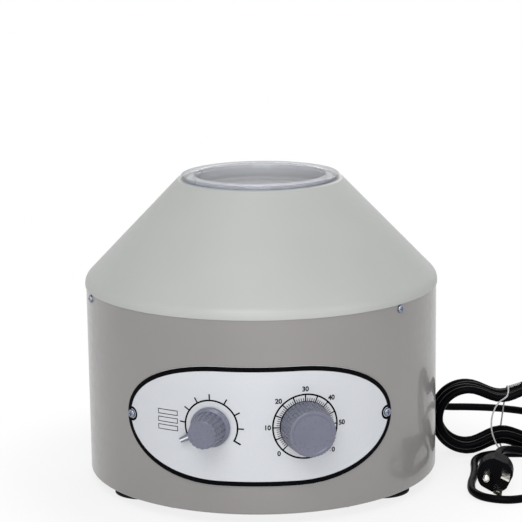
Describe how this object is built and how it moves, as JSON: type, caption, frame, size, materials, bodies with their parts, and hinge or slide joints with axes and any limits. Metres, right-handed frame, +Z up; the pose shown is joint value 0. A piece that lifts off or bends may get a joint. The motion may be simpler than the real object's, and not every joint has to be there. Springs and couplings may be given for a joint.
{
  "type": "bench centrifuge",
  "caption": "Low speed bench centrifuge: drum body, sheet cone, clear lift-off lid, angle rotor, speed dial, timer and tied mains cord.",
  "frame": {"origin": "on the rotor's axis, in the plane of the feet's rims", "axes": "+Z up along the rotor's axis, -Y towards the control panel, +X to the operator's right"},
  "size_m": [0.3727, 0.3091, 0.2278],
  "materials": {
    "body_paint": "semi-gloss grey brown paint",
    "cone_paint": "satin light grey paint",
    "panel_metal": "satin printed plate with a black border",
    "bowl_steel": "drawn stainless bowl",
    "plate_steel": "galvanised plate",
    "screw_chrome": "bright plated screws",
    "screw_steel": "zinc plated fasteners",
    "foot_rubber": "black moulded rubber",
    "pot_metal": "plated case",
    "timer_plastic": "dark moulded case",
    "motor_paint": "dark enamel",
    "motor_cast": "die cast",
    "lamination": "stacked electrical steel",
    "copper": "enamelled copper",
    "bearing_steel": "ground steel",
    "brush_brass": "bright brass",
    "carbon": "carbon",
    "board": "green laminate",
    "standoff": "nylon",
    "sink": "bare extrusion",
    "capacitor_film": "moulded box",
    "cord_rubber": "black jacket",
    "tie_vinyl": "grey vinyl",
    "plug_vinyl": "black moulded vinyl",
    "contact_brass": "nickel plated brass",
    "head_metal": "dark anodised",
    "sleeve_metal": "anodised light blue",
    "shaft_steel": "turned steel",
    "knob_plastic": "blue grey moulded knob",
    "lid_clear": "clear moulded plastic"
  },
  "bodies": {
    "housing": {"body_shell": "body_paint", "base_plate": "plate_steel", "base_screws": "screw_steel", "top_cone": "cone_paint", "rim_screws": "screw_chrome", "chamber_bowl": "bowl_steel", "shaft_seal": "foot_rubber", "foot_front_left": "foot_rubber", "foot_front_right": "foot_rubber", "foot_rear": "foot_rubber", "foot_screws": "screw_steel", "control_panel": "panel_metal", "panel_screws": "screw_chrome", "speed_pot": "pot_metal", "pot_nut": "screw_steel", "timer_case": "timer_plastic", "timer_screws": "screw_steel", "motor_can": "motor_paint", "motor_lower_bell": "motor_cast", "motor_upper_bell": "motor_cast", "motor_mounts": "foot_rubber", "motor_screws": "screw_steel", "field_core": "lamination", "field_coils": "copper", "lower_bearing": "bearing_steel", "upper_bearing": "bearing_steel", "brush_holders": "brush_brass", "carbon_brushes": "carbon", "speed_board": "board", "board_standoffs": "standoff", "heat_sink": "sink", "capacitor": "capacitor_film", "strain_relief": "cord_rubber", "cord_lead": "cord_rubber", "cord_hank": "cord_rubber", "cord_tail": "cord_rubber", "cord_tie": "tie_vinyl", "power_plug": "plug_vinyl", "plug_blades": "contact_brass", "ground_pin": "contact_brass"},
    "rotor": {"rotor_hub": "shaft_steel", "rotor_head": "head_metal", "tube_sleeve_1": "sleeve_metal", "tube_sleeve_2": "sleeve_metal", "tube_sleeve_3": "sleeve_metal", "tube_sleeve_4": "sleeve_metal", "tube_sleeve_5": "sleeve_metal", "tube_sleeve_6": "sleeve_metal", "rotor_washer": "shaft_steel", "rotor_nut": "shaft_steel", "motor_shaft": "shaft_steel", "armature_core": "lamination", "armature_winding": "copper", "commutator": "copper"},
    "lid": {"lid": "lid_clear"},
    "speed_knob": {"speed_knob": "knob_plastic", "pot_shaft": "shaft_steel"},
    "timer_knob": {"timer_knob": "knob_plastic", "timer_shaft": "shaft_steel"}
  },
  "joints": [
    {"name": "rotor_spin", "type": "hinge", "parent": "housing", "child": "rotor", "pos_m": [0, 0, 0.06], "axis": [0, 0, 1], "continuous": true},
    {"name": "lid_lift", "type": "slide", "parent": "housing", "child": "lid", "axis": [0, 0, 1], "range_m": [0, 0.15]},
    {"name": "speed_turn", "type": "hinge", "parent": "housing", "child": "speed_knob", "pos_m": [-0.03255, -0.12586, 0.0712], "axis": [0.2504, 0.9681, 0], "range_deg": [0, 240]},
    {"name": "timer_turn", "type": "hinge", "parent": "housing", "child": "timer_knob", "pos_m": [0.03255, -0.12586, 0.0712], "axis": [-0.2504, 0.9681, 0], "range_deg": [0, 270]}
  ]
}
